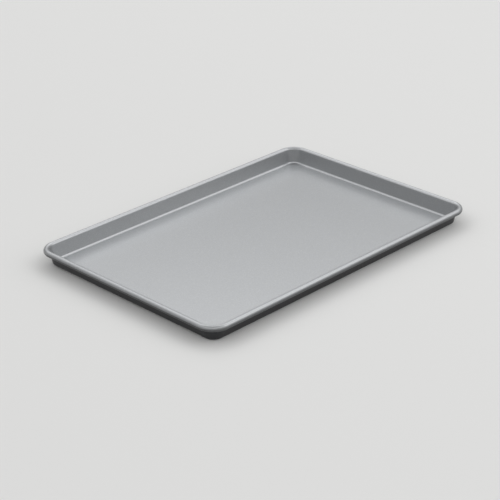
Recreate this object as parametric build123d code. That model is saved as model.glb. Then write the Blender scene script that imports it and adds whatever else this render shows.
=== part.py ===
from build123d import *
import math
import os

# Jelly roll pan, in millimetres.
# +Z is up, the long sides run along X, and the origin is under the middle of the floor,
# on the surface that the pan stands on.
# The pan is one steel sheet, pressed into a shallow tray, whose edge is curled
# outward and down around a bent steel wire.

# Overall sizes, over the rolled rim
OUTER_LENGTH = 387.0
OUTER_WIDTH = 261.0
OUTER_HEIGHT = 19.0

# Pressed sheet
SHEET = 0.8
WALL_DRAFT_DEGREES = 11.5
FLOOR_FILLET = 3.0

# Rolled rim
WIRE_DIAMETER = 4.4
WIRE_CLEARANCE = 0.2
WIRE_BUTT_GAP = 1.0
CURL_OPENING = 0.8

# Corner of the wire's centre line, seen from above
RIM_CORNER_RADIUS = 17.0

# How far a cutting block runs past what it cuts
OVERRUN = 2.0

# The curl wraps the wire, and the sheet's thickness lies outside it
CURL_INSIDE_RADIUS = WIRE_DIAMETER / 2 + WIRE_CLEARANCE
ROLL_RADIUS = CURL_INSIDE_RADIUS + SHEET
RIM_CENTRE_HEIGHT = OUTER_HEIGHT - ROLL_RADIUS

# Straight stretches of the rim's centre line, between the corner arcs
LONG_STRAIGHT = OUTER_LENGTH - 2 * (ROLL_RADIUS + RIM_CORNER_RADIUS)
SHORT_STRAIGHT = OUTER_WIDTH - 2 * (ROLL_RADIUS + RIM_CORNER_RADIUS)


def point_at(centre, radius, degrees):
    """A point on a circle in the section, which is drawn as (outset, height)."""
    angle = math.radians(degrees)
    return (centre[0] + radius * math.cos(angle), centre[1] + radius * math.sin(angle))


def arc_between(centre, radius, start_degrees, end_degrees):
    """A circular arc in the section, counter-clockwise when the end angle is larger."""
    return CenterArc(centre, radius, start_degrees, end_degrees - start_degrees)


# The section's outset is measured outward from the rim's centre line.
# The wall's inner face looks inward and a little up, so it leaves the roll at this angle.
WALL_NORMAL_DEGREES = 180 - WALL_DRAFT_DEGREES
ROLL_CENTRE = (0, RIM_CENTRE_HEIGHT)


def floor_fillet_centre():
    """The point that lies the fillet's radius from the wall's inner face and from the floor's top."""
    draft = math.radians(WALL_DRAFT_DEGREES)
    roll_top_of_wall = point_at(ROLL_CENTRE, ROLL_RADIUS, WALL_NORMAL_DEGREES)
    height = SHEET + FLOOR_FILLET
    rise = height - roll_top_of_wall[1]
    outset = roll_top_of_wall[0] + (rise * math.sin(draft) - FLOOR_FILLET) / math.cos(draft)
    return (outset, height)


def sheet_section():
    """The sheet's section: floor fillet, leaning wall, and the curl round the wire.

    The curl stops short of the wall's outer face, which leaves the narrow slot
    that runs all round the underside of the rim.
    """
    fillet = floor_fillet_centre()
    fillet_outside = FLOOR_FILLET + SHEET
    wall_side = WALL_NORMAL_DEGREES + 180
    down = 270

    slot_share = (CURL_INSIDE_RADIUS - CURL_OPENING) / ROLL_RADIUS
    curl_end = WALL_NORMAL_DEGREES - 360 + math.degrees(math.acos(slot_share))

    outline = Curve() + [
        arc_between(fillet, fillet_outside, down, wall_side),
        Line(
            point_at(fillet, fillet_outside, wall_side),
            point_at(ROLL_CENTRE, CURL_INSIDE_RADIUS, WALL_NORMAL_DEGREES),
        ),
        arc_between(ROLL_CENTRE, CURL_INSIDE_RADIUS, WALL_NORMAL_DEGREES, curl_end),
        Line(
            point_at(ROLL_CENTRE, CURL_INSIDE_RADIUS, curl_end),
            point_at(ROLL_CENTRE, ROLL_RADIUS, curl_end),
        ),
        arc_between(ROLL_CENTRE, ROLL_RADIUS, curl_end, WALL_NORMAL_DEGREES),
        Line(
            point_at(ROLL_CENTRE, ROLL_RADIUS, WALL_NORMAL_DEGREES),
            point_at(fillet, FLOOR_FILLET, wall_side),
        ),
        arc_between(fillet, FLOOR_FILLET, wall_side, down),
        Line(
            point_at(fillet, FLOOR_FILLET, down),
            point_at(fillet, fillet_outside, down),
        ),
    ]
    return make_face(outline)


def carried_round(section):
    """Carry a section round the rim: a quarter turn at each corner and a straight run after it."""
    upright = Plane.XZ * Pos(RIM_CORNER_RADIUS, 0) * section
    corner = revolve(upright, Axis.Z, 90)
    turned = Rot(0, 0, 90) * upright

    ring = Part()
    corner_signs = [(1, 1), (-1, 1), (-1, -1), (1, -1)]
    for turn, (sign_x, sign_y) in enumerate(corner_signs):
        run = LONG_STRAIGHT if turn % 2 == 0 else SHORT_STRAIGHT
        side = extrude(turned, amount=run, dir=(-1, 0, 0))
        place = Pos(sign_x * LONG_STRAIGHT / 2, sign_y * SHORT_STRAIGHT / 2, 0)
        ring += place * Rot(0, 0, 90 * turn) * corner
        ring += place * Rot(0, 0, 90 * turn) * side
    return ring


def floor_plate():
    """The flat floor, inside the line where the floor fillet begins."""
    edge = floor_fillet_centre()[0]
    corner = RIM_CORNER_RADIUS + edge
    outline = RectangleRounded(LONG_STRAIGHT + 2 * corner, SHORT_STRAIGHT + 2 * corner, corner)
    return extrude(outline, amount=SHEET)


def pan_body():
    """The pressed and curled sheet, in one piece."""
    return floor_plate() + carried_round(sheet_section())


def rim_wire():
    """The stiffening wire inside the curl, cut to length so that its ends nearly meet."""
    section = Pos(*ROLL_CENTRE) * Circle(WIRE_DIAMETER / 2)
    back_side = OUTER_WIDTH / 2 - ROLL_RADIUS
    block = WIRE_DIAMETER + OVERRUN
    gap = Pos(0, back_side, RIM_CENTRE_HEIGHT) * Box(WIRE_BUTT_GAP, block, block)
    return carried_round(section) - gap


def main():
    os.makedirs("parts", exist_ok=True)
    pieces = {"pan_body": pan_body(), "rim_wire": rim_wire()}
    for name, shape in pieces.items():
        export_step(shape, f"parts/{name}.step")
        size = shape.bounding_box().size
        print(name, "volume", round(shape.volume), "size", round(size.X, 2), round(size.Y, 2), round(size.Z, 2))


main()
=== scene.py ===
# %% [markdown]
# # A jelly roll pan
#
# The pan is one steel sheet, pressed into a shallow tray, whose edge is curled round a wire.
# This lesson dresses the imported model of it: first the camera and the studio, then the sheet
# and the wire as clean meshes, and last the two non-stick coatings and the zinc on the wire.
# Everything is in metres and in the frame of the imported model, so nothing has to be fitted.

import math

import bmesh
import bpy
from mathutils import Matrix, Vector


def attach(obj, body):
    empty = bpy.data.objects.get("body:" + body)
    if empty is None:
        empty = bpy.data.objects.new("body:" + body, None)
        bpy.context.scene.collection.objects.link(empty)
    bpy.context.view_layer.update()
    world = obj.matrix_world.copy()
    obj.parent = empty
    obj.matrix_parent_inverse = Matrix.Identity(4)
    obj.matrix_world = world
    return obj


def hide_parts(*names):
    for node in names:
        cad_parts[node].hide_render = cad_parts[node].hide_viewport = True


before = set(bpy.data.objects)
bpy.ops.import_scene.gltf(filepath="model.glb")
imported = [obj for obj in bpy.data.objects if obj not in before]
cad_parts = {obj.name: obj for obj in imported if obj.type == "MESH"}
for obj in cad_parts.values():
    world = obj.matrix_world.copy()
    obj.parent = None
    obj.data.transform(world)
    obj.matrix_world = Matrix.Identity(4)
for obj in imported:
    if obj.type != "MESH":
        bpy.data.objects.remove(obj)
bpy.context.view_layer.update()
scene = bpy.context.scene
scene.view_settings.view_transform = "Standard"
print("packed nodes:", sorted(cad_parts))

# %% [markdown]
# ## Camera
#
# The photograph was taken from a little over a metre and a half, looking down across one
# corner of the pan with a long lens, so the sides hardly close in towards the back.
# The place and the three angles below came from matching the straight lines of the rim,
# the foot of the walls and the base. The camera is turned from its rest position, in which
# it looks straight down: tilted up, turned about the vertical, and rolled by a hair.

# %% Camera
MM = 0.001
SENSOR_WIDTH_MM = 36
LENS_MM = 113.46
CAMERA_PLACE = Vector((-1.07068, -1.05063, 0.72002))
CAMERA_TURN = math.radians(45.206)
CAMERA_DOWN = math.radians(25.926)
CAMERA_ROLL = math.radians(-0.661)


def link(made):
    """Put an object into the scene."""
    scene.collection.objects.link(made)
    return made


camera = link(bpy.data.objects.new("camera", bpy.data.cameras.new("camera")))
camera.data.sensor_width = SENSOR_WIDTH_MM
camera.data.lens = LENS_MM
camera.matrix_world = (
    Matrix.Translation(CAMERA_PLACE)
    @ Matrix.Rotation(-CAMERA_TURN, 4, "Z")
    @ Matrix.Rotation(math.pi / 2 - CAMERA_DOWN, 4, "X")
    @ Matrix.Rotation(CAMERA_ROLL, 4, "Z")
)
scene.camera = camera
print("camera", round(CAMERA_PLACE.length, 3), "m from the middle of the base")

# %% [markdown]
# ## Colours and nodes
#
# Colours are written as the hex values that a picture editor shows. The shader works in
# linear light, so one function turns them. Another adds a node to a material: its settings
# are named, and each input is given either a value or the socket that feeds it.


# %% Colour and node helpers
def colour(hex_code):
    """Turn an sRGB hex value to the linear colour that the shader wants."""
    shares = [int(hex_code[i : i + 2], 16) / 255 for i in (1, 3, 5)]
    linear = [s / 12.92 if s <= 0.04045 else ((s + 0.055) / 1.055) ** 2.4 for s in shares]
    return (*linear, 1)


def node(tree, kind, inputs=None, **settings):
    """Add a node with its settings, and fill or link its inputs by name or by number."""
    made = tree.nodes.new(kind)
    for name, value in settings.items():
        setattr(made, name, value)
    for name, value in (inputs or {}).items():
        if isinstance(value, bpy.types.NodeSocket):
            tree.links.new(value, made.inputs[name])
        else:
            made.inputs[name].default_value = value
    return made


def empty_material(name):
    """A material with no nodes yet."""
    made = bpy.data.materials.new(name)
    made.use_nodes = True
    made.node_tree.nodes.clear()
    return made


def per_metre(size_mm):
    """How many features of this size there are in a metre, which is what a texture's scale means."""
    return 1000 / size_mm


print("a light grey of #bcbdbf is", [round(c, 3) for c in colour("#bcbdbf")])

# %% [markdown]
# ## Studio
#
# The pan stands on a wide pale floor, and soft light comes from all round, as in a light tent.
# It is brightest in a band halfway up and weak near the floor and right overhead. Two
# softboxes add to it, one behind the pan and a large one on the right. The satin metal mirrors
# the band and the softboxes wherever the sheet bends, in the bright line along the rim and in
# the fine one along the foot of the walls. The walls that face the camera mirror the weak light
# near the floor, so they stay darker than the pan's own floor.
#
# The floor is matt paper, which has hardly any shine. Each softbox is placed by two angles: its
# turn about the vertical, from +Y towards +X, and how far up it stands.

# %% Pale floor
FLOOR_SIZE = 12
FLOOR_COLOUR = "#e6e6e5"
PAPER_ROUGHNESS = 0.9
PAPER_SHINE = 0.2

ground = bmesh.new()
bmesh.ops.create_grid(ground, x_segments=1, y_segments=1, size=FLOOR_SIZE / 2)
floor_mesh = bpy.data.meshes.new("studio_floor")
ground.to_mesh(floor_mesh)
ground.free()
studio_floor = link(bpy.data.objects.new("studio_floor", floor_mesh))

paper = empty_material("pale_matt_paper")
paper_tree = paper.node_tree
paper_look = {
    "Base Color": colour(FLOOR_COLOUR),
    "Roughness": PAPER_ROUGHNESS,
    "Specular IOR Level": PAPER_SHINE,
}
paper_shader = node(paper_tree, "ShaderNodeBsdfPrincipled", paper_look)
node(paper_tree, "ShaderNodeOutputMaterial", {"Surface": paper_shader.outputs["BSDF"]})
floor_mesh.materials.append(paper)
print("the floor is", FLOOR_SIZE, "m wide")

# %% Softboxes
LAMP_DISTANCE = 2.2
SOFTBOXES = {
    "softbox_behind": {"turn": 45, "up": 46, "wide": 1.3, "high": 1.3, "brightness": 0.56},
    "softbox_right": {"turn": 140, "up": 31, "wide": 1.5, "high": 1.8, "brightness": 0.67},
}

for name, box in SOFTBOXES.items():
    lamp = link(bpy.data.objects.new(name, bpy.data.lights.new(name, "AREA")))
    lamp.data.shape = "RECTANGLE"
    lamp.data.size = box["wide"]
    lamp.data.size_y = box["high"]
    lamp.data.energy = math.pi * box["wide"] * box["high"] * box["brightness"]
    turned = Matrix.Rotation(-math.radians(box["turn"]), 4, "Z")
    raised = Matrix.Rotation(math.radians(box["up"]), 4, "X")
    lamp.location = turned @ raised @ Vector((0, LAMP_DISTANCE, 0))
    lamp.rotation_euler = lamp.location.to_track_quat("Z", "Y").to_euler()
    lamp.visible_camera = False
    print(name, "at", [round(c, 2) for c in lamp.location])

# %% The light from all round
SURROUND_LIGHT = 0.25
BAND_LIGHT = 1.2
BAND_HEIGHT = math.radians(45)
BAND_REACH = math.radians(30)

world = bpy.data.worlds.new("studio")
scene.world = world
world.use_nodes = True
world.node_tree.nodes.clear()
tree = world.node_tree
heading = node(tree, "ShaderNodeTexCoord").outputs["Generated"]
rise = node(tree, "ShaderNodeSeparateXYZ", {"Vector": heading}).outputs["Z"]
height = node(tree, "ShaderNodeMath", {0: rise}, operation="ARCSINE").outputs[0]
above = node(tree, "ShaderNodeMath", {0: height, 1: BAND_HEIGHT}, operation="SUBTRACT").outputs[0]
off_band = node(tree, "ShaderNodeMath", {0: above}, operation="ABSOLUTE").outputs[0]
band_light = {"To Min": SURROUND_LIGHT + BAND_LIGHT, "To Max": SURROUND_LIGHT}
brightness = node(
    tree, "ShaderNodeMapRange", {"Value": off_band, "From Max": BAND_REACH, **band_light}
).outputs["Result"]
sky = node(tree, "ShaderNodeBackground", {"Color": colour("#ffffff"), "Strength": brightness})
node(tree, "ShaderNodeOutputWorld", {"Surface": sky.outputs["Background"]})
print("light from", SURROUND_LIGHT, "to", SURROUND_LIGHT + BAND_LIGHT)

# %% [markdown]
# ## The sheet's section
#
# Cut across the rim, the sheet is a line: a tight bend where the floor turns up, a leaning
# straight wall, and a curl that wraps five sixths of the way round the wire. The line below
# follows the side of the sheet that starts as the top of the floor. Each bend is drawn by
# swinging its last point about the centre of the bend, and the wall by pulling that point out.
# Section points are written as (outset, height), with the outset measured outward from the
# wire's centre line.

# %% Sizes of the pan
OUTER_LENGTH = 387.0 * MM
OUTER_WIDTH = 261.0 * MM
OUTER_HEIGHT = 19.0 * MM
SHEET = 0.8 * MM
WALL_LEAN = math.radians(11.5)
FOOT_RADIUS = 3.0 * MM
WIRE_RADIUS = 2.2 * MM
WIRE_CLEARANCE = 0.2 * MM
WIRE_JOINT_GAP = 1.0 * MM
CORNER_RADIUS = 17.0 * MM
CURL_SWEEP = math.radians(300)

CURL_INSIDE = WIRE_RADIUS + WIRE_CLEARANCE
CURL_OUTSIDE = CURL_INSIDE + SHEET
WIRE_HEIGHT = OUTER_HEIGHT - CURL_OUTSIDE
HALF_LONG_STRAIGHT = OUTER_LENGTH / 2 - CURL_OUTSIDE - CORNER_RADIUS
HALF_SHORT_STRAIGHT = OUTER_WIDTH / 2 - CURL_OUTSIDE - CORNER_RADIUS
straight_runs = [round(2 * half, 4) for half in (HALF_LONG_STRAIGHT, HALF_SHORT_STRAIGHT)]
print("straight runs in metres:", straight_runs)

# %% Swing and pull
def swing(shape, start, centre, axis, angle, steps):
    """Swing a point about a centre, and return the points that this draws, in order."""
    known = set(shape.verts)
    bmesh.ops.spin(shape, geom=[start], cent=centre, axis=axis, angle=angle, steps=steps)
    return [v for v in shape.verts if v not in known]


def pull_point(shape, start, to):
    """Pull a new point out of another one."""
    made = bmesh.ops.extrude_vert_indiv(shape, verts=[start])["verts"][0]
    made.co = to
    return made


def section_point(outset, height):
    """Where a point of the section lies before it is carried round the rim."""
    return Vector((HALF_LONG_STRAIGHT + CORNER_RADIUS + outset, HALF_SHORT_STRAIGHT, height))


# %% Draw the sheet's section
FOOT_STEPS = 12
CURL_STEPS = 60
TOWARDS_WALL = (0, -1, 0)
OVER_THE_WIRE = (0, 1, 0)

wall_top_outset = -CURL_OUTSIDE * math.cos(WALL_LEAN)
wall_top_height = WIRE_HEIGHT + CURL_OUTSIDE * math.sin(WALL_LEAN)
foot_height = SHEET + FOOT_RADIUS
foot_drop = foot_height - wall_top_height
foot_outset = wall_top_outset + (foot_drop * math.sin(WALL_LEAN) - FOOT_RADIUS) / math.cos(WALL_LEAN)

sheet = bmesh.new()
# One number per point: 1 on the real dark coat, and painted shade down the outer side of the curl.
dark_coat_and_painted_shade = sheet.verts.layers.float.new("dark_coat_and_painted_shade")
short_side_painted_shade = sheet.verts.layers.float.new("short_side_painted_shade")
floor_edge = sheet.verts.new(section_point(foot_outset, SHEET))
foot_centre = section_point(foot_outset, foot_height)
foot = swing(sheet, floor_edge, foot_centre, TOWARDS_WALL, math.pi / 2 - WALL_LEAN, FOOT_STEPS)
wall_top = pull_point(sheet, foot[-1], section_point(wall_top_outset, wall_top_height))
curl = swing(sheet, wall_top, section_point(0, WIRE_HEIGHT), OVER_THE_WIRE, CURL_SWEEP, CURL_STEPS)
wall_rise = (wall_top.co.z - foot[-1].co.z) / MM
print("the section has", len(sheet.verts), "points; the wall rises", round(wall_rise, 1), "mm")

# %% [markdown]
# ## Where the dark coat and the painted shade lie
#
# The tray is sprayed twice. The light coat goes on from above and covers the inside and the top
# of the curl. The dark one goes on from below and covers the outside and the base. Down the
# curl's outer side the light coat is darkened towards the dark colour: this is painted shade,
# for the curl turning down away from the light. On the long sides the painted shade fades evenly;
# on the short sides it begins further down the curl and darkens more sharply, under a faint
# painted haze nearer the top. Two numbers on every point say how much painted shade lies there
# on a long side and on a short one. They are set here, on the section, because each copy of a
# point keeps its numbers.
#
# Each rise in the painted shade is written as where it begins, where it ends, both in degrees past
# the top of the curl, and how much darkening it adds.

# %% Paint shade down the outer side of the curl
TOP_DEGREES = 90 - math.degrees(WALL_LEAN)
# Painted shade on the curl, as (begins, ends, most darkening), in degrees past the top.
LONG_SIDE_PAINTED_SHADE = [(34, 97, 0.77), (97, 180, 0.23)]
SHORT_SIDE_PAINTED_SHADE = [(15, 42, 0.2), (60, 98, 0.7), (100, 180, 0.1)]


def eased(value, start, end, most):
    """Rise from nothing at the start to the most at the end, with a soft beginning and a soft end."""
    share = min(max((value - start) / (end - start), 0), 1)
    return most * share * share * (3 - 2 * share)


# Each curl point is darkened by painted shade, by how far it has turned past the top.
for step, point in enumerate(curl, 1):
    past_top = math.degrees(CURL_SWEEP) * step / CURL_STEPS - TOP_DEGREES
    point[dark_coat_and_painted_shade] = sum(eased(past_top, *rise) for rise in LONG_SIDE_PAINTED_SHADE)
    point[short_side_painted_shade] = sum(eased(past_top, *rise) for rise in SHORT_SIDE_PAINTED_SHADE)
print("points in the mist:", sum(0 < p[dark_coat_and_painted_shade] < 1 for p in curl))

# %% [markdown]
# ## Carried round the rim
#
# A press makes all four sides at once. In the mesh the section is carried round instead:
# a quarter spin about the upright axis of a corner, a straight pull along a side, and so on
# four times. The last pull ends where the first spin began, and merging closes the ring.
# Round each corner the long sides' painted shade then passes into the short sides'.

# %% Corners and sides
CORNER_STEPS = 36
CORNER_SIGNS = [(1, 1), (-1, 1), (-1, -1), (1, -1)]
MERGE_DISTANCE = 0.005 * MM


def turn_corner(shape, edges, which):
    """Spin edges a quarter turn about one of the four corners, and return where they end."""
    sign_x, sign_y = CORNER_SIGNS[which]
    centre = (sign_x * HALF_LONG_STRAIGHT, sign_y * HALF_SHORT_STRAIGHT, 0)
    points = list(dict.fromkeys(v for e in edges for v in e.verts))
    done = bmesh.ops.spin(
        shape, geom=points + edges, cent=centre, axis=(0, 0, 1), angle=math.pi / 2, steps=CORNER_STEPS
    )
    return [g for g in done["geom_last"] if isinstance(g, bmesh.types.BMEdge)]


def pull_along(shape, edges, which, length):
    """Pull edges along the side that follows a corner, and return where they end."""
    made = bmesh.ops.extrude_edge_only(shape, edges=edges)["geom"]
    points = [g for g in made if isinstance(g, bmesh.types.BMVert)]
    ahead = Matrix.Rotation(which * math.pi / 2, 3, "Z") @ Vector((-length, 0, 0))
    bmesh.ops.translate(shape, verts=points, vec=ahead)
    ends = set(points)
    return [g for g in made if isinstance(g, bmesh.types.BMEdge) and set(g.verts) <= ends]


def side_length(which):
    """The straight length of the side that follows a corner."""
    return 2 * (HALF_SHORT_STRAIGHT if which % 2 else HALF_LONG_STRAIGHT)


front_edges = sheet.edges[:]
for which in range(len(CORNER_SIGNS)):
    front_edges = turn_corner(sheet, front_edges, which)
    front_edges = pull_along(sheet, front_edges, which, side_length(which))
bmesh.ops.remove_doubles(sheet, verts=sheet.verts[:], dist=MERGE_DISTANCE)
print("the ring has", len(sheet.faces), "faces")

# %% Painted shade round the corners
# The painted shade of the long and the short sides blends by where a point lies round the corner.
for point in sheet.verts:
    past_long_side = max(abs(point.co.x) - HALF_LONG_STRAIGHT, 0)
    past_short_side = max(abs(point.co.y) - HALF_SHORT_STRAIGHT, 0)
    short_share = past_long_side**2 / (past_long_side**2 + past_short_side**2)
    point[dark_coat_and_painted_shade] += short_share * (point[short_side_painted_shade] - point[dark_coat_and_painted_shade])
sheet.verts.layers.float.remove(short_side_painted_shade)
print("most of the dark coat on a point:", round(max(p[dark_coat_and_painted_shade] for p in sheet.verts), 2))

# %% [markdown]
# ## Floor and thickness
#
# The ring's inner edge is filled with the flat floor. The floor is then inset a little, so that
# its shading stays flat right up to the foot bend. With the faces all turned the same way, the
# solidify operator gives the sheet its 0.8 mm, growing away from the coated inside.

# %% Fill the floor and thicken the sheet
FLOOR_INSET = 1.5 * MM
SHARP_ANGLE = math.radians(35)


def on_the_floor(edge):
    """Whether both ends of an edge lie on the floor's top."""
    return all(abs(v.co.z - SHEET) < MERGE_DISTANCE for v in edge.verts)


inner_edge = [e for e in sheet.edges if e.is_boundary and on_the_floor(e)]
pan_floor = bmesh.ops.edgeloop_fill(sheet, edges=inner_edge)["faces"]
bmesh.ops.inset_region(sheet, faces=pan_floor, thickness=FLOOR_INSET, use_even_offset=True)
bmesh.ops.recalc_face_normals(sheet, faces=sheet.faces[:])
if pan_floor[0].normal.z < 0:
    bmesh.ops.reverse_faces(sheet, faces=sheet.faces[:])
other_side = bmesh.ops.solidify(sheet, geom=sheet.faces[:], thickness=SHEET)["geom"]
# The other side of the sheet, on the outside and under the base, carries the real dark coat.
for made in other_side:
    if isinstance(made, bmesh.types.BMVert):
        made[dark_coat_and_painted_shade] = 1
print("the sheet has", len(sheet.faces), "faces")

# %% Finish a piece
def finished_piece(shape, name, material):
    """Turn a bmesh into a smooth piece with a material, and let it ride on the pan's one body."""
    for face in shape.faces:
        face.smooth = True
    open_edges = sum(not e.is_manifold for e in shape.edges)
    volume = shape.calc_volume(signed=True) / MM**3
    mesh = bpy.data.meshes.new(name)
    shape.to_mesh(mesh)
    shape.free()
    mesh.set_sharp_from_angle(angle=SHARP_ANGLE)
    mesh.materials.append(material)
    piece = link(bpy.data.objects.new(name, mesh))
    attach(piece, "root")
    print(name, len(mesh.polygons), "faces,", open_edges, "open edges,", round(volume), "cubic mm")
    return piece


# %% [markdown]
# ## Non-stick coating
#
# The coating is PTFE enamel, sprayed on and baked. The light coat carries fine aluminium flake,
# which is why it looks like soft grey metal. The eye gets three things from it: a satin sheen
# that smears reflections over a few centimetres, a very fine glitter of flakes, and the
# faint dimpled skin that sprayed enamel has. The dark coat has soot-black pigment and no flake,
# so it only shows a thin gloss. One material holds both, mixed by the number on the points. The
# same number also paints shade down the outer side of the curl, by darkening the light coat
# towards the dark colour.
#
# A flake is about 0.03 mm wide and a droplet of the dark spray about 0.1 mm. Both are too fine to
# show here, so the glitter and the droplets' grain are drawn coarser, as clusters of them. The
# grain also breaks up the painted shade on the curl.

# %% Coating
LIGHT_COAT = "#b3b5b7"
LIGHT_COAT_FLAKE = "#c6c8ca"
# The dark coat's own colour; the painted shade on the curl also darkens towards it.
DARK_COAT = "#252628"
FLAKE_MM = 0.55
FAINTEST_FLAKE = 0.55
FLAKE_STRENGTH = 0.6
FLAKE_METAL = 0.7
DIMPLE_MM = 1.6
DIMPLE_DEPTH = 0.01 * MM
DIMPLE_STRENGTH = 0.6
CLOUD_MM = 28
SHEEN_WIDTH = (0.28, 0.32)
DARK_GRAIN_MM = 0.8
DARK_GRAIN_DEPTH = 0.25

coating = empty_material("ptfe_enamel_sprayed_and_baked")
tree = coating.node_tree
place = node(tree, "ShaderNodeTexCoord").outputs["Object"]
dark_coat_and_shade = node(tree, "ShaderNodeAttribute", attribute_name="dark_coat_and_painted_shade").outputs["Fac"]
flakes = node(
    tree, "ShaderNodeTexVoronoi", {"Vector": place, "Scale": per_metre(FLAKE_MM)}, feature="F1"
).outputs["Color"]
flake_tone = node(tree, "ShaderNodeSeparateColor", {"Color": flakes}).outputs["Red"]
clouds = node(
    tree, "ShaderNodeTexNoise", {"Vector": place, "Scale": per_metre(CLOUD_MM), "Detail": 3.0}
).outputs["Fac"]
dimples = node(
    tree, "ShaderNodeTexNoise", {"Vector": place, "Scale": per_metre(DIMPLE_MM), "Detail": 2.0}
).outputs["Fac"]
grain = node(
    tree, "ShaderNodeTexNoise", {"Vector": place, "Scale": per_metre(DARK_GRAIN_MM), "Detail": 1.0}
).outputs["Fac"]

flakes_lit = {"Value": flake_tone, "From Min": FAINTEST_FLAKE, "To Max": FLAKE_STRENGTH}
flake_share = node(tree, "ShaderNodeMapRange", flakes_lit).outputs["Result"]
flaked = {0: flake_share, 6: colour(LIGHT_COAT), 7: colour(LIGHT_COAT_FLAKE)}
light_coat = node(tree, "ShaderNodeMix", flaked, data_type="RGBA").outputs[2]
# Share of the dark colour: the real dark coat, and painted shade down the curl, broken by a grain.
dark_grain = node(
    tree,
    "ShaderNodeMapRange",
    {"Value": grain, "To Min": 1 - DARK_GRAIN_DEPTH / 2, "To Max": 1 + DARK_GRAIN_DEPTH / 2},
).outputs["Result"]
coat_and_shade_share = node(
    tree, "ShaderNodeMath", {0: dark_coat_and_shade, 1: dark_grain}, operation="MULTIPLY", use_clamp=True
).outputs[0]
# This mix lays both the dark coat and the painted shade on the curl.
coat_colour = node(
    tree, "ShaderNodeMix", {0: coat_and_shade_share, 6: light_coat, 7: colour(DARK_COAT)}, data_type="RGBA"
).outputs[2]
# Where shade is painted, the flake's metal is taken away too.
flake_metal = node(
    tree, "ShaderNodeMapRange", {"Value": coat_and_shade_share, "To Min": FLAKE_METAL, "To Max": 0.0}
).outputs["Result"]
sheen_width = node(
    tree, "ShaderNodeMapRange", {"Value": clouds, "To Min": SHEEN_WIDTH[0], "To Max": SHEEN_WIDTH[1]}
).outputs["Result"]
skin = node(
    tree, "ShaderNodeBump", {"Height": dimples, "Distance": DIMPLE_DEPTH, "Strength": DIMPLE_STRENGTH}
).outputs["Normal"]
shader = node(
    tree,
    "ShaderNodeBsdfPrincipled",
    {"Base Color": coat_colour, "Metallic": flake_metal, "Roughness": sheen_width, "Normal": skin},
)
node(tree, "ShaderNodeOutputMaterial", {"Surface": shader.outputs["BSDF"]})
print("coating nodes:", len(tree.nodes))

# %% The pan sheet
pan_sheet = finished_piece(sheet, "pan_sheet", coating)
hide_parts("pan_body")

# %% [markdown]
# ## Rim wire
#
# The wire is drawn steel with a thin coat of zinc, bent to a rounded rectangle whose ends meet
# in the middle of the back side. Only a narrow slot under the curl shows it. Its round section
# starts at one end, goes round the corners as the sheet did, and stops a millimetre short of
# its beginning, and both cut ends have their edges broken.
#
# The zinc froze in small spangles of two greys, some duller than others, and the drawing die
# left fine marks on it. Those are a few hundredths of a millimetre wide, and are drawn coarser.

# %% Zinc on drawn wire
ZINC = "#a9acaf"
ZINC_DULL = "#8d9094"
SPANGLE_MM = 3
SPANGLE_ROUGHNESS = (0.32, 0.5)
DIE_MARK_MM = 0.15
DIE_MARK_DEPTH = 0.01 * MM
DIE_MARK_STRENGTH = 0.4

zinc_coat = empty_material("zinc_coated_drawn_steel")
tree = zinc_coat.node_tree
place = node(tree, "ShaderNodeTexCoord").outputs["Object"]
spangle = node(
    tree, "ShaderNodeTexVoronoi", {"Vector": place, "Scale": per_metre(SPANGLE_MM)}, feature="F1"
).outputs["Color"]
spangle_tone = node(tree, "ShaderNodeSeparateColor", {"Color": spangle}).outputs["Red"]
die_marks = node(
    tree, "ShaderNodeTexNoise", {"Vector": place, "Scale": per_metre(DIE_MARK_MM), "Detail": 1.0}
).outputs["Fac"]
zinc_colour = node(
    tree, "ShaderNodeMix", {0: spangle_tone, 6: colour(ZINC_DULL), 7: colour(ZINC)}, data_type="RGBA"
).outputs[2]
spangled = {"Value": spangle_tone, "To Min": SPANGLE_ROUGHNESS[0], "To Max": SPANGLE_ROUGHNESS[1]}
zinc_roughness = node(tree, "ShaderNodeMapRange", spangled).outputs["Result"]
marked = {"Height": die_marks, "Distance": DIE_MARK_DEPTH, "Strength": DIE_MARK_STRENGTH}
zinc_skin = node(tree, "ShaderNodeBump", marked).outputs["Normal"]
shader = node(
    tree,
    "ShaderNodeBsdfPrincipled",
    {"Base Color": zinc_colour, "Metallic": 1.0, "Roughness": zinc_roughness, "Normal": zinc_skin},
)
node(tree, "ShaderNodeOutputMaterial", {"Surface": shader.outputs["BSDF"]})
print("zinc nodes:", len(tree.nodes))

# %% The rim wire
WIRE_SIDES = 28
BACK_SIDE = 0
WIRE_END_BREAK = 0.3 * MM
WIRE_BREAK_STEPS = 2
WIRE_BREAK_ROUND = 0.5

wire = bmesh.new()
back_run = HALF_LONG_STRAIGHT - WIRE_JOINT_GAP / 2
wire_start = Vector((-WIRE_JOINT_GAP / 2, HALF_SHORT_STRAIGHT + CORNER_RADIUS, WIRE_HEIGHT))
upright = Matrix.Translation(wire_start) @ Matrix.Rotation(math.pi / 2, 4, "Y")
bmesh.ops.create_circle(wire, segments=WIRE_SIDES, radius=WIRE_RADIUS, matrix=upright)
front_edges = pull_along(wire, wire.edges[:], BACK_SIDE, back_run)
for which in (1, 2, 3):
    front_edges = turn_corner(wire, front_edges, which)
    front_edges = pull_along(wire, front_edges, which, side_length(which))
front_edges = turn_corner(wire, front_edges, BACK_SIDE)
pull_along(wire, front_edges, BACK_SIDE, back_run)
end_edges = [e for e in wire.edges if e.is_boundary]
bmesh.ops.holes_fill(wire, edges=end_edges)
bmesh.ops.recalc_face_normals(wire, faces=wire.faces[:])
bmesh.ops.bevel(
    wire,
    geom=end_edges,
    offset=WIRE_END_BREAK,
    segments=WIRE_BREAK_STEPS,
    profile=WIRE_BREAK_ROUND,
    affect="EDGES",
    material=-1,
)
rim_wire_piece = finished_piece(wire, "curled_in_wire", zinc_coat)
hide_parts("rim_wire")

# %% [markdown]
# ## Finish

# %% Finish
bpy.context.view_layer.update()
